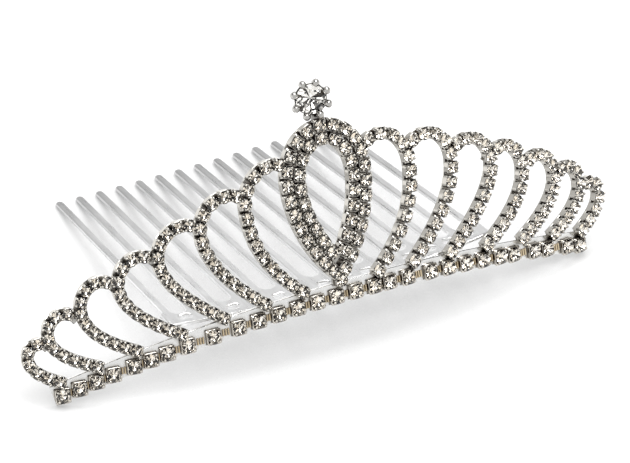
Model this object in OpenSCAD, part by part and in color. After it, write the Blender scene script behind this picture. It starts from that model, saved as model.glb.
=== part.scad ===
// Diadem of soldered metal loops set with round cut stones, on a metal hair comb.
// It is drawn upright and flat first: u runs along the bend, v runs up and w points outward.
// The last step leans the whole thing back, so that it rests on its band ends and comb tips.

/* [Band] */
// Radius of the bend that follows the head
bend_r = 224; // [200:1:260]
// Half the length of the base row, along the bend
half_arc = 65; // [64:0.5:66]
// Drop of the base row from its middle to its ends
arch_h = 7; // [6:0.5:8]
// Height of the flat strip behind the base row
strip_h = 4.4; // [4:0.1:4.8]
// Thickness of the flat strip
strip_t = 0.9; // [0.7:0.1:1]

/* [Base row] */
// Width of a square cup
cup_w = 3.3; // [3.25:0.05:3.4]
// Bore through a cup, behind its stone
cup_bore = 2.9; // [2.85:0.05:2.95]
// Diameter of a base stone
base_stone_d = 2.7; // [2.5:0.05:2.7]
// Steps between neighbouring stones: near, middling and wide
base_steps = [3.8, 4.7, 5.9];

/* [Loops] */
// Width of a loop's strip
loop_w = 3; // [2.9:0.05:3.1]
// Depth of a loop's strip
loop_depth = 1.9; // [1.6:0.1:2.2]
// Width of the groove that holds a loop's stones
groove_w = 2.55; // [2.5:0.05:2.6]
// Diameter of a loop stone
loop_stone_d = 2.3; // [2.2:0.05:2.35]

/* [Centre] */
// Diameter of the single large stone on top
solitaire_d = 6.2; // [5.8:0.1:6.4]
// Height of the large stone above the base of the band
solitaire_v = 44.7; // [44.5:0.1:45]
// Depth of the basket behind the large stone
basket_depth = 3.4; // [3:0.1:3.8]

/* [Comb] */
// Distance between two teeth at the root
tooth_pitch = 5.4; // [5.3:0.05:5.5]
// Width of a tooth
tooth_w = 1.8; // [1.6:0.1:2]
// Length of a tooth from the root line to its tip
tooth_len = 52; // [45:0.5:54]
// Thickness of the comb's sheet
comb_t = 0.9; // [0.7:0.1:1]
// Upward slope of the comb from the band, in degrees
comb_slope = 18; // [17:0.5:19]

/* [Hidden] */
base_kinds = [0, 0, 0, 1, 0, 0, 1, 2, 2, 1, 1, 1, 1, 1, 1, 1, 0, 1, 2, 1, 1, 1, 1, 0, 2, 0, 2, 0];
base_stones = len(base_kinds) + 1;
base_v = 1.6;              // stone centres above the band's lower edge
strip_back = -1.2;         // back face of the flat strip, measured outward
cup_front = 0.65;          // tips of the cups' corner prongs
cup_lip = 0.15;            // floor between the prongs
prong_gap = 1.7;           // width of the slots between the prongs
base_girdle = 0.35;        // outward place of the base stones' widest ring
band_end = half_arc + 1.5; // ends of the flat strip
link_t = 0.9;              // depth of the small bars between the cups

// Each row: foot, rise of the lower run in degrees, side point, half width, rise, end angle,
// number of stones, and room from the last stone to the neighbour's line
left_loops = [
    [8.8, 38, 19.8, 25.0, 7.1, 8.2, 128, 13, 2.9],
    [17.8, 38, 30.6, 22.4, 6.6, 6.8, 132, 13, 2.2],
    [27.5, 35, 40.7, 18.8, 6.2, 6.4, 140, 13, 3.7],
    [37.3, 28, 50.1, 15.1, 5.2, 5.7, 145, 11, 3.8],
    [47.4, 25, 58.8, 11.9, 4.7, 5.4, 148, 11, 3.2],
    [56.2, 22, 66.5, 7.9, 3.8, 4.2, 150, 9, 3.0],
    [64.6, 24, 71.4, 3.9, 2.7, 2.9, 150, 6, 3.1],
];
right_loops = [
    [8.8, 38, 20.7, 25.2, 7.1, 8.2, 128, 13, 2.3],
    [17.8, 38, 31.6, 23.6, 6.6, 6.8, 132, 13, 2.0],
    [27.5, 35, 42.1, 19.9, 6.2, 6.4, 140, 13, 3.1],
    [37.3, 28, 50.6, 16.4, 5.2, 5.7, 145, 11, 3.9],
    [47.4, 25, 59.4, 12.0, 4.7, 5.4, 148, 11, 3.2],
    [56.2, 22, 66.6, 8.3, 3.8, 4.2, 150, 9, 3.0],
    [64.6, 24, 72.1, 4.3, 2.7, 2.9, 150, 6, 2.6],
];
FOOT = 0;
LIFT = 1;
SIDE_U = 2;
SIDE_V = 3;
HALF_W = 4;
RISE = 5;
END_ANGLE = 6;
STONES = 7;
STOP = 8;
loop_lead = 0.2;           // metal below the foot, where the loop meets the strip
loop_start = 0.9;          // first stone, from the start of the metal

// Each row: half width, rise and height of the round top, two control points, lower end
plate_outline = [10.95, 12.0, 28.2, 19.4, 7.4, 11.6, 2.4, 3.6];
outer_row = [9.5, 10.55, 28.2, 20.0, 6.2, 12.5, 1.35, 7.2];
inner_row = [6.5, 8.4, 27.5, 20.5, 3.6, 15.5, 1.35, 11.3];
plate_opening = [5.05, 6.95, 27.5, 21.0, 2.2, 16.0, 0.05, 11.7];
outer_stones = 25;
inner_stones = 19;
centre_stone_d = 2.35;
bottom_stone_v = 4.95;

loop_front = 1.1;          // front face of the loops, measured outward
groove_floor = -0.05;
bottom_pocket_d = 2.5;
loop_girdle = 1.15;        // outward place of the loop stones' widest ring
solitaire_u = -0.8;
solitaire_turn = -22;      // the large stone is turned a little to the left
basket_r = 3.5;
basket_back_r = 2.3;
prongs = 8;
prong_r = 0.55;
prong_out = 0.2;           // middle of a prong, outside the basket's rim
post_w = 2.2;
post_t = 1.2;
post_back = -0.9;
post_low = plate_outline[2] + plate_outline[1] - 1;

teeth = 15;
comb_u = 0.9;              // the comb's middle lies a little to the right
comb_y = 7.6;              // middle of the root line in the upright frame
comb_z = 4.7;
root_bow = 0.8;            // how far the root line falls back at the outer teeth
tooth_fan = 4.5;           // inward turn of the outer teeth
spine_over = 1.7;          // spine beyond the middle of the outer tooth
slot_back = 2.7;           // middle of a slot, behind the comb's front edge
slot_l = 2.9;
slot_w = 1.7;
root_step = 0.3;           // straight side of a tooth begins this far above its notches
spine_corner = 0.8;        // cut corners of the spine's ends
gap = 0.1;                 // clearance between separate pieces
round_fn = 360;

function arch(u) = -arch_h * pow(u / half_arc, 2);
function turn(u) = u / bend_r * 180 / PI;
function flat_point(p) = [bend_r * sin(turn(p[0])), p[1]];
function flat_points(path) = [for (p = path) flat_point(p)];
function flip(path) = [for (i = [len(path) - 1 : -1 : 0]) [-path[i][0], path[i][1]]];
function joined(a, b) = concat(a, [for (i = [1 : len(b) - 1]) b[i]]);

function quadratic(a, b, c, n) = [for (i = [0 : n]) let (t = i / n)
    a * pow(1 - t, 2) + 2 * b * t * (1 - t) + c * t * t];
function cubic(a, b, c, d, n) = [for (i = [0 : n]) let (t = i / n)
    a * pow(1 - t, 3) + 3 * b * t * pow(1 - t, 2) + 3 * c * t * t * (1 - t) + d * pow(t, 3)];
function bow(centre, a, b, to, n) = [for (i = [0 : n]) let (t = to * i / n)
    centre + [a * cos(t), b * sin(t)]];

// A path's points moved sideways, to the right of its run when far is positive
function beside(path, far) = [for (i = [0 : len(path) - 1])
    let (back = path[max(i - 1, 0)], ahead = path[min(i + 1, len(path) - 1)], run = ahead - back)
    path[i] + far * [run[1], -run[0]] / norm(run)];
function ribbon(path, width) = concat(
    beside(path, width / 2),
    [for (i = [len(path) - 1 : -1 : 0]) beside(path, -width / 2)[i]]);

// A groove's outline: round about its first point, and about its last one too when both is true
function groove(path, width, both) =
    let (last = len(path) - 1, first_run = path[1] - path[0], last_run = path[last] - path[last - 1],
         first_a = atan2(first_run[1], first_run[0]), last_a = atan2(last_run[1], last_run[0]))
    concat(beside(path, width / 2),
           [for (k = [1 : both ? 7 : 0]) let (a = last_a - 90 + 22.5 * k)
               path[last] + width / 2 * [cos(a), sin(a)]],
           [for (i = [last : -1 : 0]) beside(path, -width / 2)[i]],
           [for (k = [1 : 7]) let (a = first_a + 90 + 22.5 * k)
               path[0] + width / 2 * [cos(a), sin(a)]]);

// Length along a path up to each of its points, and the point at a given length
function lengths(path, i = 0, sum = 0) = i == len(path) ? [] :
    let (next = i == 0 ? 0 : sum + norm(path[i] - path[i - 1]))
    concat([next], lengths(path, i + 1, next));
function at_length(path, far) =
    let (sums = lengths(path), hits = [for (i = [1 : len(path) - 1]) if (sums[i] >= far - 0.001) i],
         i = hits[0], t = (far - sums[i - 1]) / (sums[i] - sums[i - 1]))
    path[i - 1] * (1 - t) + path[i] * t;
function path_length(path) = let (sums = lengths(path)) sums[len(sums) - 1];
function path_from(path, far) =
    let (sums = lengths(path))
    concat([at_length(path, far)], [for (i = [1 : len(path) - 1]) if (sums[i] > far + 0.3) path[i]]);

// Right-hand loop: a lower run out to the side, then over the top to its inner neighbour
function loop_path(row) =
    let (foot = [row[FOOT], arch(row[FOOT]) + strip_h],
         start = foot - loop_lead * [cos(row[LIFT]), sin(row[LIFT])],
         side = [row[SIDE_U], row[SIDE_V]],
         corner = [row[SIDE_U], foot[1] + (row[SIDE_U] - row[FOOT]) * tan(row[LIFT])],
         top_centre = side - [row[HALF_W], 0])
    joined(quadratic(start, corner, side, 9), bow(top_centre, row[HALF_W], row[RISE], row[END_ANGLE], 11));
function loop_stones(row) =
    let (path = loop_path(row), reach = path_length(path) - loop_start - row[STOP],
         step = reach / (row[STONES] - 1))
    [for (i = [0 : row[STONES] - 1]) at_length(path, loop_start + i * step)];

// Drop-shaped line of the centre, from its lower right end over the top to the lower left
function drop_half(row) = joined(
    cubic([row[6], row[7]], [row[4], row[5]], [row[0], row[3]], [row[0], row[2]], 12),
    bow([0, row[2]], row[0], row[1], 90, 10));
function drop(row) = joined(drop_half(row), flip(drop_half(row)));
function row_stones(row, count) =
    let (path = drop(row), step = path_length(path) / (count - 1))
    [for (i = [0 : count - 1]) at_length(path, i * step)];

function base_u(i) = i == 0 ? -half_arc : base_u(i - 1) + base_steps[base_kinds[i - 1]];

// The comb in its own sloped frame: y runs along the teeth and z is up from the root line
function tooth_x(k) = k * tooth_pitch;
function outer_x() = tooth_x((teeth - 1) / 2);
function notch_r() = (tooth_pitch - tooth_w) / 2;
function root_y(x) = root_bow * pow(x / outer_x(), 2);
function tooth_turn(x) = tooth_fan * x / outer_x();
// The comb's front edge lies just behind the flat strip, clear of it over the sheet's thickness
function front_y(x) = (bend_r - comb_y - sqrt(pow(bend_r + strip_back - gap, 2) - pow(x + comb_u, 2)))
    / cos(comb_slope) + comb_t / 2 * tan(comb_slope);
function comb_to_band(p) = [p[0] + comb_u,
    comb_y + p[1] * cos(comb_slope) - p[2] * sin(comb_slope),
    comb_z + p[1] * sin(comb_slope) + p[2] * cos(comb_slope)];

// Middle of a tooth's tip at a given height in the sheet, in the upright frame
function tip_at(x, rise) =
    let (y = root_y(x) + tooth_len * cos(tooth_turn(x)), tip_x = x - tooth_len * sin(tooth_turn(x)))
    comb_to_band([tip_x, y, rise]);

// The lean that puts the band's lower back corners and the outer comb tips on one level
end_corner = [0, bend_r - sqrt(pow(bend_r + strip_back, 2) - pow(flat_point([band_end, 0])[0], 2)),
    arch(band_end)];
tip_low = tip_at(outer_x(), -comb_t / 2);
lean = atan2(tip_low[2] - end_corner[2], tip_low[1] - end_corner[1]);
rest_lift = end_corner[1] * sin(lean) - end_corner[2] * cos(lean);

function rest_y(p) = p[1] * cos(lean) + p[2] * sin(lean);
rest_front = rest_y([0, -cup_front, base_v - cup_w / 2]);
rest_back = max(rest_y(tip_at(0, comb_t / 2)), rest_y(tip_at(outer_x(), comb_t / 2)));
rest_middle = (rest_front + rest_back) / 2;

module rest_pose() {
    translate([0, -rest_middle, rest_lift])
        rotate([-lean, 0, 0])
            children();
}

// Puts a piece on the bent front: its x runs along the band, y up and z outward
module on_front(u, v, w) {
    translate([0, bend_r, v])
        rotate([0, 0, turn(u)])
            translate([0, -bend_r - w, 0])
                rotate([90, 0, 0])
                    children();
}

// Bends flat outlines to the head: the part of their prism between two faces
module bent(back, front) {
    intersection() {
        translate([0, 40, 0])
            rotate([90, 0, 0])
                linear_extrude(60)
                    children();
        translate([0, bend_r, -20])
            difference() {
                cylinder(r = bend_r + front, h = 80, $fn = round_fn);
                translate([0, 0, -1])
                    cylinder(r = bend_r + back, h = 82, $fn = round_fn);
            }
    }
}

module strip_outline() {
    us = [for (i = [-16 : 16]) i / 16 * band_end];
    polygon(concat(
        [for (u = us) flat_point([u, arch(u)])],
        [for (i = [len(us) - 1 : -1 : 0]) flat_point([us[i], arch(us[i]) + strip_h])]));
}

module centre_outline() {
    difference() {
        polygon(flat_points(drop(plate_outline)));
        polygon(flat_points(drop(plate_opening)));
    }
}

module cup_block() {
    translate([-cup_w / 2, -cup_w / 2, strip_back])
        cube([cup_w, cup_w, cup_front - strip_back]);
}

module cup_hollow() {
    translate([0, 0, -5])
        cylinder(d = cup_bore, h = 10, $fn = 48);
    for (a = [0, 90])
        rotate([0, 0, a])
            translate([-cup_w / 2 - gap, -prong_gap / 2, cup_lip])
                cube([cup_w + 2 * gap, prong_gap, 2]);
}

// Small bars that tie one cup to the next where the step is more than near
module cup_links(i) {
    kind = base_kinds[i];
    u = (base_u(i) + base_u(i + 1)) / 2;
    run = base_steps[kind] - cup_w + 0.4;
    if (kind > 0)
        for (rise = kind == 1 ? [0] : [-0.75, 0.75])
            on_front(u, arch(u) + base_v + rise, 0)
                translate([-run / 2, -0.35, strip_back + 0.5])
                    cube([run, 0.7, link_t]);
}

// Puts a piece at the large stone, turned as it is
module at_solitaire(w) {
    on_front(solitaire_u, solitaire_v, 0)
        rotate([0, solitaire_turn, 0])
            translate([0, 0, w])
                children();
}

module solitaire_setting() {
    at_solitaire(0) {
        difference() {
            translate([0, 0, -basket_depth])
                cylinder(r1 = basket_back_r, r2 = basket_r, h = basket_depth, $fn = 48);
            translate([0, 0, -basket_depth - 1])
                cylinder(r = basket_back_r - 0.7, h = basket_depth + 2, $fn = 48);
            translate([0, 0, -basket_depth + 0.3])
                cylinder(r1 = basket_back_r - 0.7, r2 = solitaire_d / 2 + gap,
                         h = basket_depth + base_girdle - 0.3, $fn = 48);
        }
        for (k = [0 : prongs - 1])
            rotate([0, 0, (k + 0.5) * 360 / prongs])
                translate([basket_r + prong_out, 0, -1])
                    cylinder(r = prong_r, h = 1.6 + base_girdle, $fn = 16);
    }
    on_front(0, 0, 0)
        translate([-post_w / 2, post_low, post_back])
            cube([post_w, solitaire_v - basket_r + 0.4 - post_low, post_t]);
}

module loop_outline(row) {
    polygon(flat_points(ribbon(loop_path(row), loop_w)));
}

module loop_groove(row) {
    polygon(flat_points(groove(path_from(loop_path(row), loop_start), groove_w, false)));
}

module frame() {
    color("gainsboro")
        rest_pose() {
            difference() {
                union() {
                    bent(strip_back, strip_back + strip_t)
                        strip_outline();
                    bent(loop_front - loop_depth, loop_front) {
                        centre_outline();
                        for (row = right_loops)
                            loop_outline(row);
                        mirror([1, 0, 0])
                            for (row = left_loops)
                                loop_outline(row);
                    }
                    for (i = [0 : base_stones - 1])
                        on_front(base_u(i), arch(base_u(i)) + base_v, 0)
                            cup_block();
                    for (i = [0 : base_stones - 2])
                        cup_links(i);
                    solitaire_setting();
                }
                bent(groove_floor, 3) {
                    for (row = [outer_row, inner_row])
                        polygon(flat_points(groove(drop(row), groove_w, true)));
                    for (row = right_loops)
                        loop_groove(row);
                    mirror([1, 0, 0])
                        for (row = left_loops)
                            loop_groove(row);
                    translate([0, bottom_stone_v])
                        circle(d = bottom_pocket_d, $fn = 48);
                }
                for (i = [0 : base_stones - 1])
                    on_front(base_u(i), arch(base_u(i)) + base_v, 0)
                        cup_hollow();
            }
        }
}

// A round cut stone: a flat table, a crown and a pavilion of n facets that ends in a point
module cut_stone(d, n) {
    table = [for (k = [0 : n - 1]) let (a = (k + 0.5) * 360 / n)
        [0.3 * d * cos(a), 0.3 * d * sin(a), 0.15 * d]];
    girdle = [for (k = [0 : n - 1]) let (a = k * 360 / n) [d / 2 * cos(a), d / 2 * sin(a), 0]];
    tip = 2 * n;
    polyhedron(
        points = concat(table, girdle, [[0, 0, -0.38 * d]]),
        faces = concat(
            [[for (k = [n - 1 : -1 : 0]) k]],
            [for (k = [0 : n - 1]) [n + k, k, n + (k + 1) % n]],
            [for (k = [0 : n - 1]) [k, (k + 1) % n, n + (k + 1) % n]],
            [for (k = [0 : n - 1]) [n + k, n + (k + 1) % n, tip]]));
}

module stones_at(places, w, d) {
    color("aliceblue")
        rest_pose()
            for (p = places)
                on_front(p[0], p[1], w)
                    cut_stone(d, 8);
}

// Grooves run straight back, so a stone in front of one sits a little nearer the middle of the bend
function over_groove(places) = [for (p = places)
    [asin(bend_r * sin(turn(p[0])) / (bend_r + loop_girdle)) / turn(1), p[1]]];

module base_stone(i) {
    stones_at([[base_u(i), arch(base_u(i)) + base_v]], base_girdle, base_stone_d);
}

module loop_string(row, side) {
    stones_at([for (p = over_groove(loop_stones(row))) [side * p[0], p[1]]], loop_girdle, loop_stone_d);
}

module centre_stones_outer() {
    stones_at(over_groove(concat(row_stones(outer_row, outer_stones), [[0, bottom_stone_v]])),
              loop_girdle, centre_stone_d);
}

module centre_stones_inner() {
    stones_at(over_groove(row_stones(inner_row, inner_stones)), loop_girdle, centre_stone_d);
}

module solitaire_stone() {
    color("aliceblue")
        rest_pose()
            at_solitaire(base_girdle)
                cut_stone(solitaire_d, 16);
}

// Points of a round stretch, from one angle to another
function round_points(centre, r, from, to, n) = [for (i = [0 : n]) let (t = from + (to - from) * i / n)
    centre + r * [cos(t), sin(t)]];

// Edge of one tooth, up its right side, round its tip and down its left side
function tooth_edge(x) =
    let (a = tooth_turn(x), root = [x, root_y(x)], run = [-sin(a), cos(a)], side = [cos(a), sin(a)] * tooth_w / 2,
         low = root + run * (notch_r() + root_step), tip = root + run * (tooth_len - tooth_w / 2))
    concat([low + side], round_points(tip, tooth_w / 2, a, a + 180, 8), [low - side]);

// Round edge of the notch between two teeth, right to left
function notch_edge(x) = round_points([x, root_y(x) + notch_r()], notch_r(), -8, -172, 10);

function spine_end(side) =
    let (x = side * (outer_x() + spine_over), y = root_y(x) + notch_r())
    [[x, y - spine_corner], [x - side * spine_corner, y]];

module comb_outline() {
    end_x = outer_x() + spine_over;
    left_end = spine_end(-1);
    difference() {
        polygon(concat(
            [for (i = [-8 : 8]) [i / 8 * end_x, front_y(i / 8 * end_x)]],
            spine_end(1),
            [for (k = [(teeth - 1) / 2 : -1 : -(teeth - 1) / 2])
                each concat(tooth_edge(tooth_x(k)), k > -(teeth - 1) / 2 ? notch_edge(tooth_x(k - 0.5)) : [])],
            [left_end[1], left_end[0]]));
        for (k = [-(teeth - 2) / 2 : (teeth - 2) / 2])
            translate([tooth_x(k), front_y(tooth_x(k)) + slot_back])
                slot_outline();
    }
}

// Slot with round ends, one before each notch
module slot_outline() {
    reach = (slot_l - slot_w) / 2;
    polygon(concat(
        round_points([reach, 0], slot_w / 2, -90, 90, 6),
        round_points([-reach, 0], slot_w / 2, 90, 270, 6)));
}

module comb() {
    color("silver")
        rest_pose()
            translate([comb_u, comb_y, comb_z])
                rotate([comb_slope, 0, 0])
                    linear_extrude(comb_t, center = true)
                        comb_outline();
}

frame();
comb();
solitaire_stone();
centre_stones_outer();
centre_stones_inner();
for (k = [1 : len(left_loops)]) {
    loop_string(left_loops[k - 1], -1);
    loop_string(right_loops[k - 1], 1);
}
for (i = [1 : base_stones])
    base_stone(i - 1);
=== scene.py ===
"""Looks of the diadem: plated cups, rails, cut stones and a satin comb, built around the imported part.

Shapes are worked out upright first, in millimetres: u runs along the bend, v up and w outward.
Then everything leans back to the rest pose, as the part does, and is scaled to metres.
"""

import math
from collections import namedtuple

import bpy
import numpy as np
from mathutils import Matrix, Vector


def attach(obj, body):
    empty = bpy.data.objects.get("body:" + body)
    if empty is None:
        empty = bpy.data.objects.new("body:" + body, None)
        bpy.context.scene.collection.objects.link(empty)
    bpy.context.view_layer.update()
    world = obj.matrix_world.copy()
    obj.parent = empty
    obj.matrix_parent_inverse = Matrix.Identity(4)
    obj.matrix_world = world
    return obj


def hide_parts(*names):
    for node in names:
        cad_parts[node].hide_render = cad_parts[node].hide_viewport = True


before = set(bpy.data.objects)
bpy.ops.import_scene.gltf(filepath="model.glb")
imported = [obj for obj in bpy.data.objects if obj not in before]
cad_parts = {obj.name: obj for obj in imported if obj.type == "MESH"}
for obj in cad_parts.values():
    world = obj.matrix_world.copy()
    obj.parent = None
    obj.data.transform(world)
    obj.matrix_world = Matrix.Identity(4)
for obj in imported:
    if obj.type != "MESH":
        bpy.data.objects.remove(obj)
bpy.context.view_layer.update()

MM = 0.001

# The band and its base row, in millimetres, as in the part
BEND_R = 224
HALF_ARC = 65
ARCH_H = 7
STRIP_H = 4.4
STRIP_T = 0.9
STRIP_BACK = -1.2
BAND_END = HALF_ARC + 1.5
BASE_V = 1.6
CUP_W = 3.3
CUP_FRONT = 0.65

# Three spacings of the base cups, and which of them follows each cup, left to right
BASE_STEPS = (3.8, 4.7, 5.9)
BASE_KINDS = (0, 0, 0, 1, 0, 0, 1, 2, 2, 1, 1, 1, 1, 1, 1, 1, 0, 1, 2, 1, 1, 1, 1, 0, 2, 0, 2, 0)

# Foot of a loop, rise of its lower run in degrees, the point at its side, then half width, rise and
# end angle of its round top, its number of stones and the room that is left past the last one
Loop = namedtuple("Loop", "foot_u lift side_u side_v half_w rise end_angle stones last_room")
LEFT_LOOPS = (
    Loop(8.8, 38, 19.8, 25.0, 7.1, 8.2, 128, 13, 2.9),
    Loop(17.8, 38, 30.6, 22.4, 6.6, 6.8, 132, 13, 2.2),
    Loop(27.5, 35, 40.7, 18.8, 6.2, 6.4, 140, 13, 3.7),
    Loop(37.3, 28, 50.1, 15.1, 5.2, 5.7, 145, 11, 3.8),
    Loop(47.4, 25, 58.8, 11.9, 4.7, 5.4, 148, 11, 3.2),
    Loop(56.2, 22, 66.5, 7.9, 3.8, 4.2, 150, 9, 3.0),
    Loop(64.6, 24, 71.4, 3.9, 2.7, 2.9, 150, 6, 3.1),
)
RIGHT_LOOPS = (
    Loop(8.8, 38, 20.7, 25.2, 7.1, 8.2, 128, 13, 2.3),
    Loop(17.8, 38, 31.6, 23.6, 6.6, 6.8, 132, 13, 2.0),
    Loop(27.5, 35, 42.1, 19.9, 6.2, 6.4, 140, 13, 3.1),
    Loop(37.3, 28, 50.6, 16.4, 5.2, 5.7, 145, 11, 3.9),
    Loop(47.4, 25, 59.4, 12.0, 4.7, 5.4, 148, 11, 3.2),
    Loop(56.2, 22, 66.6, 8.3, 3.8, 4.2, 150, 9, 3.0),
    Loop(64.6, 24, 72.1, 4.3, 2.7, 2.9, 150, 6, 2.6),
)
LOOP_BACK = -0.8
LOOP_LEAD = 0.2
LOOP_START = 0.9

# Half width, rise and lowest height of a row's round top, two control points below it, its lower end
# and its number of stones
DropRow = namedtuple("DropRow", "half_w rise top_v upper_v lower_u lower_v end_u end_v stones")
OUTER_ROW = DropRow(9.5, 10.55, 28.2, 20.0, 6.2, 12.5, 1.35, 7.2, 25)
INNER_ROW = DropRow(6.5, 8.4, 27.5, 20.5, 3.6, 15.5, 1.35, 11.3, 19)
BOTTOM_STONE_V = 4.95

# The large stone's place and basket
SOLITAIRE_U = -0.8
SOLITAIRE_V = 44.7
SOLITAIRE_TURN = math.radians(-22)
BASKET_DEPTH = 3.4
BASKET_R = 3.5
BASKET_BACK_R = 2.3
PRONGS = 8

# The comb
TEETH = 15
TOOTH_PITCH = 5.4
TOOTH_W = 1.8
TOOTH_LEN = 52
TOOTH_FAN = 4.5
OUTER_X = TOOTH_PITCH * (TEETH - 1) / 2
NOTCH_R = (TOOTH_PITCH - TOOTH_W) / 2
SIDE_START = 0.3
COMB_T = 0.9
COMB_SLOPE = math.radians(18)
COMB_PLACE = (0.9, 7.6, 4.7)
ROOT_BOW = 0.8
SPINE_OVER = 1.7
SPINE_CUT = 0.8
SLOT_BACK = 2.7
SLOT_L = 2.9
SLOT_W = 1.7
GAP = 0.1

# Stones as they are dressed, a little wider than the part's, and the heights of their girdles
BASE_STONE_D = 3.1
LOOP_STONE_D = 2.85
CENTRE_STONE_D = 2.68
SOLITAIRE_D = 6.5
BASE_GIRDLE = 0.7
LOOP_GIRDLE = 1.15
SOLITAIRE_GIRDLE = 0.35
STONE_SPACE = 0.02
STONE_TURN = 2.4

# Corners of a cut, radii of its table and of its star facets as shares of the stone's radius, its depth
# as a share of its width, and which facets of its back are near-black, as painted dark reflections
Cut = namedtuple("Cut", "corners table star depth dark")
SMALL_CUT = Cut(8, 0.6, None, 0.32, (0, 6, 11))
LARGE_CUT = Cut(12, 0.72, 0.88, 0.4, (0, 1, 7, 10))
CROWN_SHARE = 0.16
EDGE_SHARE = 0.012

# Back and lip of a cup, its bore, the girdle of its stone, the radius that its prongs hold, and the radii
# of their beads and of the cup's corners. Then how soft its edges are, the steps in its corners, and how
# far its seat lies under the lip, goes down and narrows.
Seat = namedtuple("Seat", "back lip bore girdle hold_r bead corner")
BASE_SEAT = Seat(STRIP_BACK + STRIP_T, 0.5, 1.42, BASE_GIRDLE, 1.35, 0.34, 0.6)
LOOP_SEAT = Seat(LOOP_BACK + 0.3, 0.95, 1.12, LOOP_GIRDLE, 1.2, 0.33, 0.7)
CENTRE_SEAT = LOOP_SEAT._replace(bore=1.1, hold_r=1.12, bead=0.32)
CUP_SOFT = 0.09
CORNER_STEPS = 3
SEAT_STEP = 0.05
SEAT_DEPTH = 0.9
SEAT_TAPER = 0.12

# A cup's prong: how deep it starts under the lip, then as shares of its bead's radius its inset from the
# walls, its own radius, the bead's rise over the girdle and its place past the radius that it holds
PRONG_ROOT = 0.3
PRONG_INSET = 0.75
PRONG_SHARE = 0.8
HEAD_RISE = 0.45
HEAD_OUT = 0.35
HOLD_SHARE = 0.99

# Any prong: where its neck is, as a share of its length, how thick it is there, and its bead's rings
NECK_AT = 0.72
NECK_SHARE = 0.92
BEAD_RINGS = (-50, -10, 30, 62)

# Cups along the loops and the drop: half their width across the row, and half the gap between two
LOOP_CUP_HALF = 1.36
LOOP_CUP_GAP = 0.2
CENTRE_CUP_HALF = 1.45
CENTRE_CUP_GAP = 0.08
BOTTOM_CUP_HALF = 1.35

# Rails under the cups, and the ribbed links between the base cups
SOFT_EDGE = 0.12
RAIL_T = 0.55
LOOP_RAIL_HALF = 1.25
DROP_RAIL_HALF = 1.4
FOOT_RAIL_HALF = 1.7
FOOT_RAIL_RUN = (3.9, 12.6)
LINK_SINK = 0.25
LINK_RIBS = (1, 2, 3)
RIB_PITCH = 0.62
RIB_RISE = 0.7


def arch(u):
    return -ARCH_H * (u / HALF_ARC) ** 2


def root_y(x):
    return ROOT_BOW * (x / OUTER_X) ** 2


def tooth_x(k):
    return (k - (TEETH - 1) / 2) * TOOTH_PITCH


def tooth_turn(x):
    return math.radians(TOOTH_FAN * x / OUTER_X)


def comb_to_band(points):
    """Points in the comb's sloped frame, in the upright frame."""
    x, y, z = np.asarray(points, float).T
    return np.column_stack([
        x + COMB_PLACE[0],
        COMB_PLACE[1] + y * math.cos(COMB_SLOPE) - z * math.sin(COMB_SLOPE),
        COMB_PLACE[2] + y * math.sin(COMB_SLOPE) + z * math.cos(COMB_SLOPE)])


def tip_at(x, rise):
    y = root_y(x) + TOOTH_LEN * math.cos(tooth_turn(x))
    return comb_to_band([(x - TOOTH_LEN * math.sin(tooth_turn(x)), y, rise)])[0]


# The rest pose: the band's ends and the outer comb tips lie on the floor
END_X = BEND_R * math.sin(BAND_END / BEND_R)
END_Y = BEND_R - math.sqrt((BEND_R + STRIP_BACK) ** 2 - END_X ** 2)
END_Z = arch(BAND_END)
TIP_LOW = tip_at(OUTER_X, -COMB_T / 2)
LEAN = math.atan2(TIP_LOW[2] - END_Z, TIP_LOW[1] - END_Y)
LIFT = END_Y * math.sin(LEAN) - END_Z * math.cos(LEAN)


def rest_y(point):
    return point[1] * math.cos(LEAN) + point[2] * math.sin(LEAN)


REST_FRONT = rest_y((0, -CUP_FRONT, BASE_V - CUP_W / 2))
REST_BACK = max(rest_y(tip_at(0, COMB_T / 2)), rest_y(tip_at(OUTER_X, COMB_T / 2)))
REST_MIDDLE = (REST_FRONT + REST_BACK) / 2
REST_TURN = np.array([
    [1, 0, 0],
    [0, math.cos(LEAN), math.sin(LEAN)],
    [0, -math.sin(LEAN), math.cos(LEAN)]])
REST_SHIFT = np.array([0, -REST_MIDDLE, LIFT])


def at_rest(points):
    """Upright points in millimetres, leaned back and in metres."""
    return (np.asarray(points, float) @ REST_TURN.T + REST_SHIFT) * MM


def place(u, v, w=0.0, angle=0.0):
    """Axes and origin at a spot on the bent front: x along angle, y across it, z outward."""
    t = u / BEND_R
    origin = np.array([(BEND_R + w) * math.sin(t), BEND_R - (BEND_R + w) * math.cos(t), v])
    level = np.array([math.cos(t), math.sin(t), 0])
    up = np.array([0, 0, 1.0])
    out = np.array([math.sin(t), -math.cos(t), 0])
    x_axis = level * math.cos(angle) + up * math.sin(angle)
    y_axis = up * math.cos(angle) - level * math.sin(angle)
    return np.array([x_axis, y_axis, out]), origin


# Curves on the flat band, as in the part

def quadratic(a, b, c, n):
    t = np.linspace(0, 1, n + 1)[:, None]
    return np.array(a) * (1 - t) ** 2 + 2 * np.array(b) * t * (1 - t) + np.array(c) * t * t


def cubic(a, b, c, d, n):
    t = np.linspace(0, 1, n + 1)[:, None]
    return (np.array(a) * (1 - t) ** 3 + 3 * np.array(b) * t * (1 - t) ** 2
            + 3 * np.array(c) * t * t * (1 - t) + np.array(d) * t ** 3)


def arc(centre, half_w, rise, start, end, n):
    """Points along an ellipse, between two angles in degrees."""
    t = np.radians(np.linspace(start, end, n + 1))
    return np.array(centre) + np.column_stack([half_w * np.cos(t), rise * np.sin(t)])


def joined(a, b):
    """Two paths as one, where the second starts at the end of the first."""
    return np.vstack([a, b[1:]])


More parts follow.
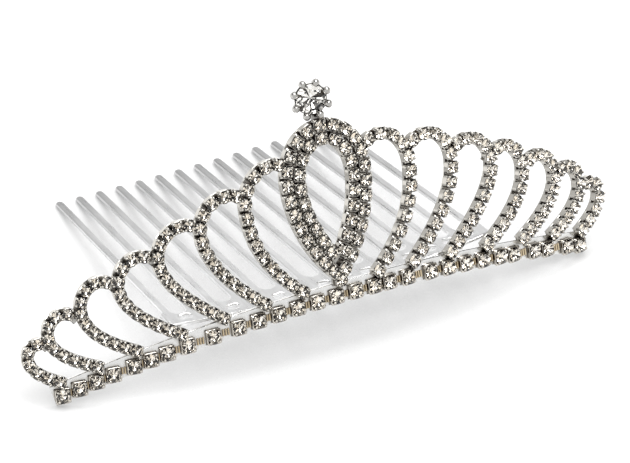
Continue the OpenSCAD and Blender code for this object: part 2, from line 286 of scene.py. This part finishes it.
def along(path, far):
    """Points at the given lengths along a path."""
    sums = np.concatenate([[0], np.cumsum(np.linalg.norm(np.diff(path, axis=0), axis=1))])
    return np.column_stack([np.interp(far, sums, path[:, k]) for k in (0, 1)])


def path_length(path):
    return np.linalg.norm(np.diff(path, axis=0), axis=1).sum()


def evenly(path):
    """The path again, with a point about every millimetre."""
    length = path_length(path)
    return along(path, np.linspace(0, length, int(length)))


def loop_path(row):
    foot = np.array([row.foot_u, arch(row.foot_u) + STRIP_H])
    lift = math.radians(row.lift)
    start = foot - LOOP_LEAD * np.array([math.cos(lift), math.sin(lift)])
    corner = (row.side_u, foot[1] + (row.side_u - row.foot_u) * math.tan(lift))
    top = arc((row.side_u - row.half_w, row.side_v), row.half_w, row.rise, 0, row.end_angle, 11)
    return joined(quadratic(start, corner, (row.side_u, row.side_v), 9), top)


def drop_path(row):
    """A row of the drop: up its right side, over the top and down its left side."""
    side = cubic((row.end_u, row.end_v), (row.lower_u, row.lower_v),
                 (row.half_w, row.upper_v), (row.half_w, row.top_v), 12)
    half = joined(side, arc((0, row.top_v), row.half_w, row.rise, 0, 90, 10))
    return joined(half, half[::-1] * (-1, 1))


def spots_on(path, lengths):
    """Stone places on a path, each with the path's direction there."""
    middle = along(path, lengths)
    run = along(path, lengths + 0.5) - along(path, lengths - 0.5)
    return [(p[0], p[1], math.atan2(r[1], r[0])) for p, r in zip(middle, run)]


def loops_on(side):
    return LEFT_LOOPS if side < 0 else RIGHT_LOOPS


def loop_pitch(row):
    return (path_length(loop_path(row)) - LOOP_START - row.last_room) / (row.stones - 1)


def loop_spots(row, side):
    path = loop_path(row)
    found = spots_on(path, np.linspace(LOOP_START, path_length(path) - row.last_room, row.stones))
    return [(side * u, v, a if side > 0 else math.pi - a) for u, v, a in found]


def drop_pitch(row):
    return path_length(drop_path(row)) / (row.stones - 1)


def drop_spots(row):
    path = drop_path(row)
    return spots_on(path, np.linspace(0, path_length(path), row.stones))


def base_places():
    u = -HALF_ARC
    found = [u]
    for kind in BASE_KINDS:
        u += BASE_STEPS[kind]
        found.append(u)
    return found


def base_spots():
    return [(u, arch(u) + BASE_V, 0.0) for u in base_places()]


# Mesh parts: a list of points, faces and a material number for each face

class Part:
    def __init__(self):
        self.points = []
        self.faces = []
        self.kinds = []
        self.count = 0

    def add(self, points, faces, kinds):
        self.points.append(np.asarray(points, float))
        self.faces += [tuple(i + self.count for i in face) for face in faces]
        self.kinds += kinds
        self.count += len(points)

    def loft(self, rings, kind=0, cap_first=False, cap_last=False):
        """Skins closed rings of equally many points, first to last."""
        n = len(rings[0])
        faces = []
        for r in range(len(rings) - 1):
            for i in range(n):
                j = (i + 1) % n
                faces.append((r * n + i, r * n + j, (r + 1) * n + j, (r + 1) * n + i))
        if cap_first:
            faces.append(tuple(range(n - 1, -1, -1)))
        if cap_last:
            faces.append(tuple((len(rings) - 1) * n + i for i in range(n)))
        self.add(np.vstack(rings), faces, [kind] * len(faces))

    def merge(self, other, axes=None, origin=(0, 0, 0)):
        """Adds another part, turned to the given axes and moved."""
        points = np.vstack(other.points)
        if axes is not None:
            points = points @ axes
        self.add(points + np.asarray(origin), other.faces, other.kinds)


def copies(template, spots, w=0.0, turn=0.0):
    """Copies of a part on the band, each turned further than the last by turn, in radians."""
    part = Part()
    for k, (u, v, angle) in enumerate(spots):
        axes, origin = place(u, v, w, angle + turn * k)
        part.merge(template, axes, origin)
    return part


def add_object(name, data):
    thing = bpy.data.objects.new(name, data)
    bpy.context.scene.collection.objects.link(thing)
    return thing


def dressed(name, mesh, looks, smooth_angle=None):
    """A piece of the diadem, from a mesh that is already in place."""
    for look in looks:
        mesh.materials.append(look)
    if smooth_angle is not None:
        mesh.polygons.foreach_set("use_smooth", [True] * len(mesh.polygons))
        mesh.set_sharp_from_angle(angle=math.radians(smooth_angle))
    mesh.update()
    thing = add_object(name, mesh)
    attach(thing, "root")
    return thing


def piece(name, part, looks, smooth_angle=None):
    mesh = bpy.data.meshes.new(name)
    mesh.from_pydata(at_rest(np.vstack(part.points)).tolist(), [], part.faces)
    mesh.polygons.foreach_set("material_index", part.kinds)
    return dressed(name, mesh, looks, smooth_angle)


def circle(r, z, n, turn=0.0):
    a = np.arange(n) / n * 2 * math.pi + turn
    return np.column_stack([r * np.cos(a), r * np.sin(a), np.full(n, float(z))])


def rounded_rectangle(half_x, half_y, corner, z):
    ring = []
    for k, (sx, sy) in enumerate(((1, 1), (-1, 1), (-1, -1), (1, -1))):
        for a in np.linspace(k * 90, k * 90 + 90, CORNER_STEPS + 1):
            ring.append((sx * (half_x - corner) + corner * math.cos(math.radians(a)),
                         sy * (half_y - corner) + corner * math.sin(math.radians(a)), z))
    return np.array(ring)


def on_circle(ring, r, z):
    """A ring's points in the same directions, moved onto a circle."""
    a = np.arctan2(ring[:, 1], ring[:, 0])
    return np.column_stack([r * np.cos(a), r * np.sin(a), np.full(len(ring), float(z))])


# Cups and prongs

def claw(foot, head, r_foot, r_head, sides=8):
    """A prong: a leaning post that ends in a round bead."""
    part = Part()
    foot = np.array(foot, float)
    head = np.array(head, float)
    neck = foot + (head - foot) * NECK_AT
    rings = [circle(r_foot, 0, sides) + foot, circle(r_foot * NECK_SHARE, 0, sides) + neck]
    for rise in BEAD_RINGS:
        a = math.radians(rise)
        rings.append(circle(r_head * math.cos(a), r_head * math.sin(a), sides) + head)
    part.loft(rings, cap_last=True)
    return part


def cup(half_x, half_y, seat):
    """A square cup with a round seat and four corner prongs that lean in over the stone."""
    part = Part()
    back, lip, bead, corner = seat.back, seat.lip, seat.bead, seat.corner
    rim = rounded_rectangle(half_x - CUP_SOFT, half_y - CUP_SOFT, corner, lip)
    part.loft([rounded_rectangle(half_x - CUP_SOFT, half_y - CUP_SOFT, corner, back),
               rounded_rectangle(half_x, half_y, corner, back + CUP_SOFT),
               rounded_rectangle(half_x, half_y, corner, lip - CUP_SOFT),
               rim], cap_first=True)
    bore_top = on_circle(rim, seat.bore, lip - SEAT_STEP)
    bore_floor = on_circle(rim, seat.bore - SEAT_TAPER, lip - SEAT_DEPTH)
    part.loft([rim, bore_top])
    part.loft([bore_top, bore_floor], 1, cap_last=True)
    hold = seat.hold_r * HOLD_SHARE + bead * HEAD_OUT
    for sx in (-1, 1):
        for sy in (-1, 1):
            x = sx * (half_x - bead * PRONG_INSET)
            y = sy * (half_y - bead * PRONG_INSET)
            pull = min(1.0, hold / math.hypot(x, y))
            head = (x * pull, y * pull, seat.girdle + bead * HEAD_RISE)
            part.merge(claw((x, y, lip - PRONG_ROOT), head, bead * PRONG_SHARE, bead))
    return part


# Cut stones

def brilliant(d, cut):
    """A round stone: glass crown (0) over a foiled back that is bright (1), or near-black (2) in places as
    painted dark reflections.
    """
    n = cut.corners
    r = d / 2
    crown = CROWN_SHARE * d
    edge = EDGE_SHARE * d
    step = math.pi / n
    table_r = cut.table * r
    rings = [circle(table_r, crown, n)]
    if cut.star:
        star_r = cut.star * r
        star_z = edge + (crown - edge) * (r - star_r * math.cos(step)) / (r - table_r)
        rings.append(circle(star_r, star_z, n, step))
    table, star = 0, n
    rim = n * len(rings)
    under = rim + 2 * n
    tip = under + 2 * n
    rings += [circle(r, edge, 2 * n), circle(r, -edge, 2 * n), [(0, 0, -cut.depth * d)]]
    faces = [tuple(range(n))]
    kinds = [0]
    for k in range(n):
        nxt = (k + 1) % n
        a0, a1, a2 = 2 * k, 2 * k + 1, (2 * k + 2) % (2 * n)
        if cut.star:
            top = [(table + k, star + k, table + nxt),
                   (table + k, star + (k - 1) % n, rim + a0, star + k),
                   (star + k, rim + a0, rim + a1),
                   (star + k, rim + a1, rim + a2)]
        else:
            top = [(table + k, rim + a0, rim + a1),
                   (table + k, rim + a1, table + nxt),
                   (table + nxt, rim + a1, rim + a2)]
        faces += top + [(rim + a0, under + a0, under + a1, rim + a1),
                        (rim + a1, under + a1, under + a2, rim + a2),
                        (tip, under + a1, under + a0),
                        (tip, under + a2, under + a1)]
        kinds += [0] * (len(top) + 2) + [2 if a in cut.dark else 1 for a in (a0, a1)]
    part = Part()
    part.add(np.vstack(rings), faces, kinds)
    return part


# Strips that follow the band

def swept(path, section):
    """Sweeps a section of (across, outward) points along a path on the band."""
    part = Part()
    rings = []
    for (u, v), (du, dv) in zip(path, np.gradient(path, axis=0)):
        axes, origin = place(u, v, 0, math.atan2(dv, du))
        rings.append(np.array([origin + a * axes[1] + o * axes[2] for a, o in section]))
    part.loft(rings, cap_first=True, cap_last=True)
    return part


def soft_section(low, high, back, front, soft):
    return [(low + soft, back), (low, back + soft), (low, front - soft), (low + soft, front),
            (high - soft, front), (high, front - soft), (high, back + soft), (high - soft, back)]


def rail_section(half_w):
    return soft_section(-half_w, half_w, LOOP_BACK, LOOP_BACK + RAIL_T, SOFT_EDGE)


# Materials: the scales of their noise, their marks, and where the comb's painted shade runs, roots to tips

PLATE_GRAIN = 1500
PLATE_ROUGHNESS_SPREAD = (0.7, 1.4)
PLATE_BUMP = 0.12
FOIL_GRAIN = 900
FOIL_STOPS = (0.35, 0.62)
COMB_SHADE_REACH = (-28 * MM, 30 * MM)
COMB_PAINTED_SHADE = ((0.0, 0.97), (0.35, 0.98), (0.6, 0.84), (0.8, 0.78), (1.0, 0.58))
COMB_GRAIN = (900, 60, 900)
COMB_MARKS = ((0.25, 0.80), (0.75, 1.0))
COMB_ROUGHNESS = (0.22, 0.36)
COMB_BUMP = 0.1
BUMP_DEPTH = 0.02 * MM


def rgba(tone):
    """A grey level or a colour, as an opaque colour."""
    return (*tone, 1) if isinstance(tone, tuple) else (tone, tone, tone, 1)


def feed(tree, node, values):
    """Fills a node's sockets: with plain values, or with links from other nodes' outputs."""
    for socket, value in values.items():
        if isinstance(value, bpy.types.NodeSocket):
            tree.links.new(value, node.inputs[socket])
        else:
            node.inputs[socket].default_value = value


def add_node(tree, kind, values, **settings):
    node = tree.nodes.new(kind)
    for setting, value in settings.items():
        setattr(node, setting, value)
    feed(tree, node, values)
    return node


def object_place(tree):
    return add_node(tree, "ShaderNodeTexCoord", {}).outputs["Object"]


def noise(tree, vector, scale, detail):
    values = {"Vector": vector, "Scale": scale, "Detail": detail}
    return add_node(tree, "ShaderNodeTexNoise", values).outputs["Fac"]


def openness(tree, reach, samples):
    """1 in the open, and less where something is within reach."""
    node = add_node(tree, "ShaderNodeAmbientOcclusion", {"Distance": reach}, samples=samples)
    return node.outputs["AO"]


def ranged(tree, value, start=(0, 1), end=(0, 1), curve="LINEAR"):
    """A value brought from one range to another."""
    values = {"Value": value, "From Min": start[0], "From Max": start[1], "To Min": end[0], "To Max": end[1]}
    return add_node(tree, "ShaderNodeMapRange", values, interpolation_type=curve).outputs["Result"]


def ramp(tree, value, stops):
    """A colour ramp over a value, from places and their grey levels or colours."""
    node = add_node(tree, "ShaderNodeValToRGB", {"Fac": value})
    elements = node.color_ramp.elements
    while len(elements) < len(stops):
        elements.new(0.5)
    for element, (spot, tone) in zip(elements, stops):
        element.position = spot
        element.color = rgba(tone)
    return node.outputs["Color"]


def mixed(tree, factor, a, b, blend="MIX"):
    values = {"Factor": factor, "A": a, "B": b}
    return add_node(tree, "ShaderNodeMix", values, data_type="RGBA", blend_type=blend).outputs["Result"]


def bump(tree, height, strength):
    values = {"Strength": strength, "Distance": BUMP_DEPTH, "Height": height}
    return add_node(tree, "ShaderNodeBump", values).outputs["Normal"]


def material(name):
    made = bpy.data.materials.new(name)
    made.use_nodes = True
    return made, made.node_tree, made.node_tree.nodes["Principled BSDF"]


def plated_metal(name, tone, painted_shade_tone, rough, painted_shade_reach):
    """Plated metal: bright where open, with painted shade, darker and warmer, in its corners, and fine
    polishing marks.
    """
    made, tree, shader = material(name)
    marks = noise(tree, object_place(tree), PLATE_GRAIN, 4)
    # Painted shade: the base colour goes to the shade tone where other surfaces are within reach.
    corners = openness(tree, painted_shade_reach * MM, 4)
    low, high = PLATE_ROUGHNESS_SPREAD
    feed(tree, shader, {
        "Metallic": 1.0,
        "Base Color": mixed(tree, corners, rgba(painted_shade_tone), rgba(tone)),
        "Roughness": ranged(tree, marks, end=(rough * low, rough * high)),
        "Normal": bump(tree, marks, PLATE_BUMP),
    })
    return made


def comb_steel(name):
    """Satin metal: painted shade, greyer towards the tips, with fine marks drawn along the teeth."""
    made, tree, shader = material(name)
    where = object_place(tree)
    split = add_node(tree, "ShaderNodeSeparateXYZ", {"Vector": where})
    # Painted shade: the base colour darkens from the roots to the tips.
    tone = ramp(tree, ranged(tree, split.outputs["Y"], start=COMB_SHADE_REACH), COMB_PAINTED_SHADE)
    stretched = add_node(tree, "ShaderNodeMapping", {"Vector": where, "Scale": COMB_GRAIN})
    marks = noise(tree, stretched.outputs["Vector"], 1.0, 3)
    shade = ramp(tree, marks, COMB_MARKS)
    feed(tree, shader, {
        "Metallic": 1.0,
        "Base Color": mixed(tree, 1.0, tone, shade, "MULTIPLY"),
        "Roughness": ranged(tree, marks, end=COMB_ROUGHNESS),
        "Normal": bump(tree, marks, COMB_BUMP),
    })
    return made


def crystal(name):
    made, tree, shader = material(name)
    feed(tree, shader, {
        "Base Color": rgba((1.0, 0.985, 0.96)),
        "Roughness": 0.0,
        "IOR": 1.5,
        "Transmission Weight": 1.0,
    })
    return made


def foil(name, low, high):
    """Mirror foil behind a stone, a little uneven in tone. Made near-black, it is painted dark reflections.
    """
    made, tree, shader = material(name)
    grain = noise(tree, object_place(tree), FOIL_GRAIN, 2)
    feed(tree, shader, {
        "Metallic": 1.0,
        "Roughness": 0.03,
        "Base Color": ramp(tree, grain, tuple(zip(FOIL_STOPS, (low, high)))),
    })
    return made


# Painted shade: the second colour of each plating is shade painted into its corners, within the reach given
# last. All stand for one silver plating, in copies set lighter or darker part by part as painted light and
# shade.
SILVER = plated_metal("silver_plate", (0.52, 0.51, 0.48), (0.08, 0.06, 0.04), 0.14, 1.1)
STRIP_METAL = plated_metal("strip_plate", (0.84, 0.84, 0.83), (0.30, 0.26, 0.20), 0.2, 0.9)
CUP_METAL = plated_metal("cup_plate", (0.54, 0.52, 0.48), (0.03, 0.022, 0.014), 0.12, 1.3)
BASE_CUP_METAL = plated_metal("base_cup_plate", (0.60, 0.57, 0.52), (0.06, 0.045, 0.028), 0.14, 1.1)
PRONG_METAL = plated_metal("prong_plate", (0.50, 0.49, 0.47), (0.05, 0.045, 0.04), 0.09, 1.6)
# Painted shade: the cups' insides, under the stones, are a darker and warmer copy.
CUP_INSIDE_PAINTED_SHADE = plated_metal("cup_inside_painted_shade", (0.50, 0.41, 0.28), (0.10, 0.07, 0.04), 0.22, 0.9)
LINK_METAL = plated_metal("link_metal", (0.70, 0.58, 0.40), (0.10, 0.06, 0.02), 0.16, 0.7)
COMB_METAL = comb_steel("comb_metal")
CRYSTAL = crystal("crystal")
FOIL = foil("crystal_foil", (0.90, 0.84, 0.75), (1.0, 0.98, 0.94))
BRIGHT_FOIL = foil("crystal_bright_foil", (0.92, 0.91, 0.89), (1.0, 1.0, 0.99))
# Painted reflection: near-black foil on some facets of the stones' backs stands for their dark reflections.
PAINTED_DARK_REFLECTION = foil("crystal_painted_dark_reflection", (0.02, 0.016, 0.012), (0.07, 0.06, 0.05))


# The pieces

def build_cups():
    base = copies(cup(CUP_W / 2, CUP_W / 2, BASE_SEAT), base_spots())
    piece("base_cups", base, (BASE_CUP_METAL, CUP_INSIDE_PAINTED_SHADE), 40)
    loops = Part()
    for side in (-1, 1):
        for row in loops_on(side):
            template = cup(loop_pitch(row) / 2 - LOOP_CUP_GAP, LOOP_CUP_HALF, LOOP_SEAT)
            loops.merge(copies(template, loop_spots(row, side)))
    piece("loop_cups", loops, (CUP_METAL, CUP_INSIDE_PAINTED_SHADE), 40)
    centre = Part()
    for row in (OUTER_ROW, INNER_ROW):
        template = cup(drop_pitch(row) / 2 - CENTRE_CUP_GAP, CENTRE_CUP_HALF, CENTRE_SEAT)
        centre.merge(copies(template, drop_spots(row)))
    bottom = cup(BOTTOM_CUP_HALF, BOTTOM_CUP_HALF, CENTRE_SEAT)
    centre.merge(copies(bottom, [(0, BOTTOM_STONE_V, 0.0)]))
    cups = piece("centre_cups", centre, (CUP_METAL, CUP_INSIDE_PAINTED_SHADE), 40)
    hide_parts("frame")


def build_rails():
    """Rails under the cups of the loops and the drop, and one up the drop's foot."""
    part = Part()
    for side in (-1, 1):
        for row in loops_on(side):
            part.merge(swept(evenly(loop_path(row)) * (side, 1), rail_section(LOOP_RAIL_HALF)))
    for row in (OUTER_ROW, INNER_ROW):
        part.merge(swept(evenly(drop_path(row)), rail_section(DROP_RAIL_HALF)))
    foot = np.array([(0, v) for v in np.linspace(*FOOT_RAIL_RUN, 6)])
    part.merge(swept(foot, rail_section(FOOT_RAIL_HALF)))
    piece("loop_rails", part, (SILVER,), 30)


def build_strip():
    us = np.linspace(-BAND_END, BAND_END, 90)
    path = np.column_stack([us, arch(us)])
    part = swept(path, soft_section(0, STRIP_H, STRIP_BACK, STRIP_BACK + STRIP_T, SOFT_EDGE))
    piece("band_strip", part, (STRIP_METAL,), 30)


def build_links():
    """Folded links between the base cups: upright ribs on a thin bar."""
    part = Part()
    bar_section = soft_section(-0.5, 0.5, -0.9, -0.35, 0.15)
    rib_section = soft_section(-0.22, 0.22, -0.8, 0.0, SOFT_EDGE)
    shares = (-1, -0.5, 0, 0.5, 1)
    us = base_places()
    for k, kind in enumerate(BASE_KINDS):
        u = (us[k] + us[k + 1]) / 2
        v = arch(u) + BASE_V
        half = (BASE_STEPS[kind] - CUP_W) / 2 + LINK_SINK
        part.merge(swept(np.array([(u + s * half, v) for s in shares]), bar_section))
        for i in range(LINK_RIBS[kind]):
            across = (i - (LINK_RIBS[kind] - 1) / 2) * RIB_PITCH
            part.merge(swept(np.array([(u + across, v + s * RIB_RISE) for s in shares]), rib_section))
    piece("cup_links", part, (LINK_METAL,), 40)


def solitaire_axes():
    """Axes and origin of the large stone, turned a little to the left."""
    axes, origin = place(SOLITAIRE_U, SOLITAIRE_V)
    c, s = math.cos(SOLITAIRE_TURN), math.sin(SOLITAIRE_TURN)
    return np.array([[c, 0, -s], [0, 1, 0], [s, 0, c]]) @ axes, origin


def build_solitaire_setting():
    """The large stone's basket and prongs, on a post that stands on the drop."""
    basket = Part()
    wall = [(BASKET_BACK_R - 0.7, -BASKET_DEPTH + 0.1), (BASKET_BACK_R - 0.1, -BASKET_DEPTH),
            (BASKET_BACK_R, -BASKET_DEPTH + 0.12), (BASKET_R - 0.35, -1.2), (BASKET_R - 0.3, -0.9),
            (BASKET_R - 0.05, -0.5), (BASKET_R, -0.05), (BASKET_R - 0.1, 0.08),
            (SOLITAIRE_D / 2 + 0.05, 0.05), (SOLITAIRE_D / 2 - 0.7, -0.9)]
    basket.loft([circle(r, z, 48) for r, z in wall])
    foot_r, foot_w, prong_r = BASKET_R - 0.15, -1.6, 0.55
    head_r, head_w, bead_r = BASKET_R + 0.25, 0.85, 0.92
    for k in range(PRONGS):
        a = (k + 0.5) * 2 * math.pi / PRONGS
        ray = np.array([math.cos(a), math.sin(a), 0])
        foot = ray * foot_r + (0, 0, foot_w)
        head = ray * head_r + (0, 0, head_w)
        basket.merge(claw(foot, head, prong_r, bead_r, sides=12))
    part = Part()
    part.merge(basket, *solitaire_axes())
    low = OUTER_ROW.top_v + OUTER_ROW.rise + 0.4
    high = SOLITAIRE_V - BASKET_R + 0.5
    post = np.array([(0, v) for v in np.linspace(low, high, 5)])
    part.merge(swept(post, soft_section(-1.1, 1.1, -0.9, 0.3, 0.2)))
    piece("solitaire_setting", part, (PRONG_METAL,), 40)


def small_stones(name, d, spots, w):
    part = copies(brilliant(d, SMALL_CUT), spots, w, STONE_TURN)
    return piece(name, part, (CRYSTAL, FOIL, PAINTED_DARK_REFLECTION))


def build_stones():
    stones = small_stones("base_stones", BASE_STONE_D, base_spots(), BASE_GIRDLE)
    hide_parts(*[f"base_stone_{k + 1}" for k in range(len(base_spots()))])
    for side, word in ((-1, "left"), (1, "right")):
        for k, row in enumerate(loops_on(side)):
            d = min(loop_pitch(row) - STONE_SPACE, LOOP_STONE_D)
            string = small_stones(f"loop_crystals_{word}_{k + 1}", d, loop_spots(row, side), LOOP_GIRDLE)
            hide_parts(f"loop_stones_{word}_{k + 1}")
    outer_spots = drop_spots(OUTER_ROW) + [(0, BOTTOM_STONE_V, 0.0)]
    outer = small_stones("centre_crystals_outer", CENTRE_STONE_D, outer_spots, LOOP_GIRDLE)
    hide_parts("centre_stones_outer")
    inner = small_stones("centre_crystals_inner", CENTRE_STONE_D, drop_spots(INNER_ROW), LOOP_GIRDLE)
    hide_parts("centre_stones_inner")
    large = Part()
    axes, origin = solitaire_axes()
    large.merge(brilliant(SOLITAIRE_D, LARGE_CUT), axes, origin + SOLITAIRE_GIRDLE * axes[2])
    solitaire = piece("solitaire_crystal", large, (CRYSTAL, BRIGHT_FOIL, PAINTED_DARK_REFLECTION))
    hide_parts("solitaire_stone")


def front_y(x):
    """Where the comb's front edge follows the strip's back, a gap behind it."""
    reach = math.sqrt((BEND_R + STRIP_BACK - GAP) ** 2 - (x + COMB_PLACE[0]) ** 2)
    return (BEND_R - COMB_PLACE[1] - reach) / math.cos(COMB_SLOPE) + COMB_T / 2 * math.tan(COMB_SLOPE)


def comb_outline():
    """The comb's edge, once round: along the front, then over each tooth and notch."""
    half = TOOTH_W / 2
    end_x = OUTER_X + SPINE_OVER
    back_y = root_y(end_x) + NOTCH_R
    edge = [(x, front_y(x)) for x in np.linspace(-end_x, end_x, 33)]
    edge += [(end_x, back_y - SPINE_CUT), (end_x - SPINE_CUT, back_y)]
    for k in reversed(range(TEETH)):
        x = tooth_x(k)
        turn = tooth_turn(x)
        root = np.array([x, root_y(x)])
        side = np.array([math.cos(turn), math.sin(turn)]) * half
        run = np.array([-math.sin(turn), math.cos(turn)])
        neck = run * (NOTCH_R + SIDE_START)
        tip = root + run * (TOOTH_LEN - half)
        degrees = math.degrees(turn)
        edge.append(root + side + neck)
        edge.extend(arc(tip, half, half, degrees, degrees + 180, 8))
        edge.append(root - side + neck)
        if k > 0:
            middle = x - TOOTH_PITCH / 2
            edge.extend(arc((middle, root_y(middle) + NOTCH_R), NOTCH_R, NOTCH_R, -8, -172, 10))
    return edge + [(SPINE_CUT - end_x, back_y), (-end_x, back_y - SPINE_CUT)]


def slot_outline(x):
    y = front_y(x) + SLOT_BACK
    r = SLOT_W / 2
    reach = (SLOT_L - SLOT_W) / 2
    return np.vstack([arc((x + reach, y), r, r, 90, -90, 6), arc((x - reach, y), r, r, 270, 90, 6)])


def build_comb():
    """The comb as a filled outline with round edges, made from a curve."""
    soft = 0.38
    curve = bpy.data.curves.new("comb_edge", "CURVE")
    curve.dimensions = "2D"
    curve.fill_mode = "BOTH"
    curve.offset = -soft * MM
    curve.extrude = (COMB_T / 2 - soft) * MM
    curve.bevel_depth = soft * MM
    curve.bevel_resolution = 5
    for outline in [comb_outline()] + [slot_outline(tooth_x(k + 0.5)) for k in range(TEETH - 1)]:
        spline = curve.splines.new("POLY")
        spline.points.add(len(outline) - 1)
        for point, (x, y) in zip(spline.points, outline):
            point.co = (x * MM, y * MM, 0, 1)
        spline.use_cyclic_u = True
    drawn = add_object("comb_edge", curve)
    bpy.context.view_layer.update()
    mesh = bpy.data.meshes.new_from_object(drawn)
    bpy.data.objects.remove(drawn)
    mesh.name = "satin_comb"
    points = np.zeros(len(mesh.vertices) * 3)
    mesh.vertices.foreach_get("co", points)
    points = at_rest(comb_to_band(points.reshape(-1, 3) / MM))
    mesh.vertices.foreach_set("co", points.ravel())
    mesh.materials.clear()
    comb = dressed("satin_comb", mesh, (COMB_METAL,), 50)
    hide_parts("comb")


build_cups()
build_rails()
build_strip()
build_links()
build_solitaire_setting()
build_stones()
build_comb()


# Floor, light and camera

FLOOR_HALF = 3.0
FLOOR_SHADOW_REACH = 40 * MM
FLOOR_GLOW_AND_PAINTED_SHADOW = ((0.0, 0.1), (0.89, 0.56), (0.99, 0.7), (1.0, 0.74))

# Name, azimuth and elevation in degrees, distance and size in metres, power in watts
LAMPS = (
    ("overhead", 160, 70, 0.9, 0.7, 7.5),
    ("left", -100, 40, 0.8, 0.25, 2),
    ("right", 60, 50, 0.8, 0.2, 2),
)

# The studio's tones, and where one blends into the next
FRONT_TONE = 0.92
PANEL_TONES = ((0.0, 0.01), (0.46, 0.01), (0.52, 1.45), (1.0, 1.45))
PANEL_START = (0.36, 0.44)
BACK_TONES = ((0.0, 0.85), (0.4, 0.8), (0.55, 0.12), (1.0, 0.03))
BACK_START = (-0.25, 0.3)

# The photograph's view of the upright diadem: angles in degrees, distance and target in millimetres, then
# the photograph's width, its focal length and the shift of its middle in pixels
CAMERA_AZIMUTH = -28.827
CAMERA_ELEVATION = 14.855
CAMERA_ROLL = 8.137
CAMERA_FAR = 3918.4
CAMERA_TARGET = np.array([0, 15, 15])
PHOTO_W = 630
FOCAL_PX = 18642.8
SHIFT_PX = (18.17, -8.79)
SENSOR_W = 36


def towards(azimuth, elevation):
    """Unit vector to where these angles point, with azimuth 0 in front of the diadem."""
    a = math.radians(azimuth)
    e = math.radians(elevation)
    return np.array([math.sin(a) * math.cos(e), -math.cos(a) * math.cos(e), math.sin(e)])


def build_floor():
    """A white sheet that glows, with painted shadow: a soft grey where the diadem is near."""
    mesh = bpy.data.meshes.new("floor")
    corners = [(x * FLOOR_HALF, y * FLOOR_HALF, 0) for x, y in ((-1, -1), (1, -1), (1, 1), (-1, 1))]
    mesh.from_pydata(corners, [], [(0, 1, 2, 3)])
    made, tree, shader = material("floor_paper")
    feed(tree, shader, {
        "Base Color": rgba(0.4),
        "Roughness": 0.8,
        "Specular IOR Level": 0.1,
        # Painted shadow: the glow dims where the diadem is within reach.
        "Emission Color": ramp(tree, openness(tree, FLOOR_SHADOW_REACH, 8), FLOOR_GLOW_AND_PAINTED_SHADOW),
        "Emission Strength": 1.0,
    })
    mesh.materials.append(made)
    add_object("floor", mesh)


def build_lamps():
    """Square soft lights aimed at the diadem."""
    for name, azimuth, elevation, far, size, power in LAMPS:
        data = bpy.data.lights.new(name, "AREA")
        data.size = size
        data.energy = power
        lamp = add_object(name, data)
        back = towards(azimuth, elevation)
        lamp.location = back * far
        lamp.rotation_euler = Vector(back).to_track_quat("Z", "Y").to_euler()


def build_studio():
    """Pale all round, with bright and dark panels high on the viewer's side, and dark high behind."""
    world = bpy.data.worlds.new("studio")
    bpy.context.scene.world = world
    world.use_nodes = True
    tree = world.node_tree
    where = add_node(tree, "ShaderNodeTexCoord", {}).outputs["Generated"]
    split = add_node(tree, "ShaderNodeSeparateXYZ", {"Vector": where})
    bars = add_node(tree, "ShaderNodeTexWave", {"Vector": where, "Scale": 0.9, "Distortion": 2.0},
                    bands_direction="X")
    panels = ramp(tree, bars.outputs["Fac"], PANEL_TONES)
    high = ranged(tree, split.outputs["Z"], start=PANEL_START, curve="SMOOTHSTEP")
    front = mixed(tree, high, rgba(FRONT_TONE), panels)
    back = ramp(tree, split.outputs["Z"], BACK_TONES)
    behind = ranged(tree, split.outputs["Y"], start=BACK_START, curve="SMOOTHSTEP")
    feed(tree, tree.nodes["Background"], {"Color": mixed(tree, behind, front, back)})


def build_camera():
    """The photograph's camera, set in the upright frame and leaned back with the diadem."""
    back = towards(CAMERA_AZIMUTH, CAMERA_ELEVATION)
    right = towards(CAMERA_AZIMUTH + 90, 0)
    up = np.cross(back, right)
    roll = math.radians(CAMERA_ROLL)
    rolled_right = right * math.cos(roll) - up * math.sin(roll)
    rolled_up = right * math.sin(roll) + up * math.cos(roll)
    matrix = np.eye(4)
    matrix[:3, :3] = REST_TURN @ np.column_stack([rolled_right, rolled_up, back])
    matrix[:3, 3] = at_rest(CAMERA_TARGET + CAMERA_FAR * back)
    data = bpy.data.cameras.new("photo_camera")
    data.sensor_width = SENSOR_W
    data.lens = FOCAL_PX / PHOTO_W * SENSOR_W
    data.shift_x = SHIFT_PX[0] / PHOTO_W
    data.shift_y = SHIFT_PX[1] / PHOTO_W
    data.clip_end = 20
    camera = add_object("photo_camera", data)
    camera.matrix_world = Matrix(matrix.tolist())
    bpy.context.scene.camera = camera


build_floor()
build_lamps()
build_studio()
build_camera()
bpy.context.scene.view_settings.view_transform = "Standard"
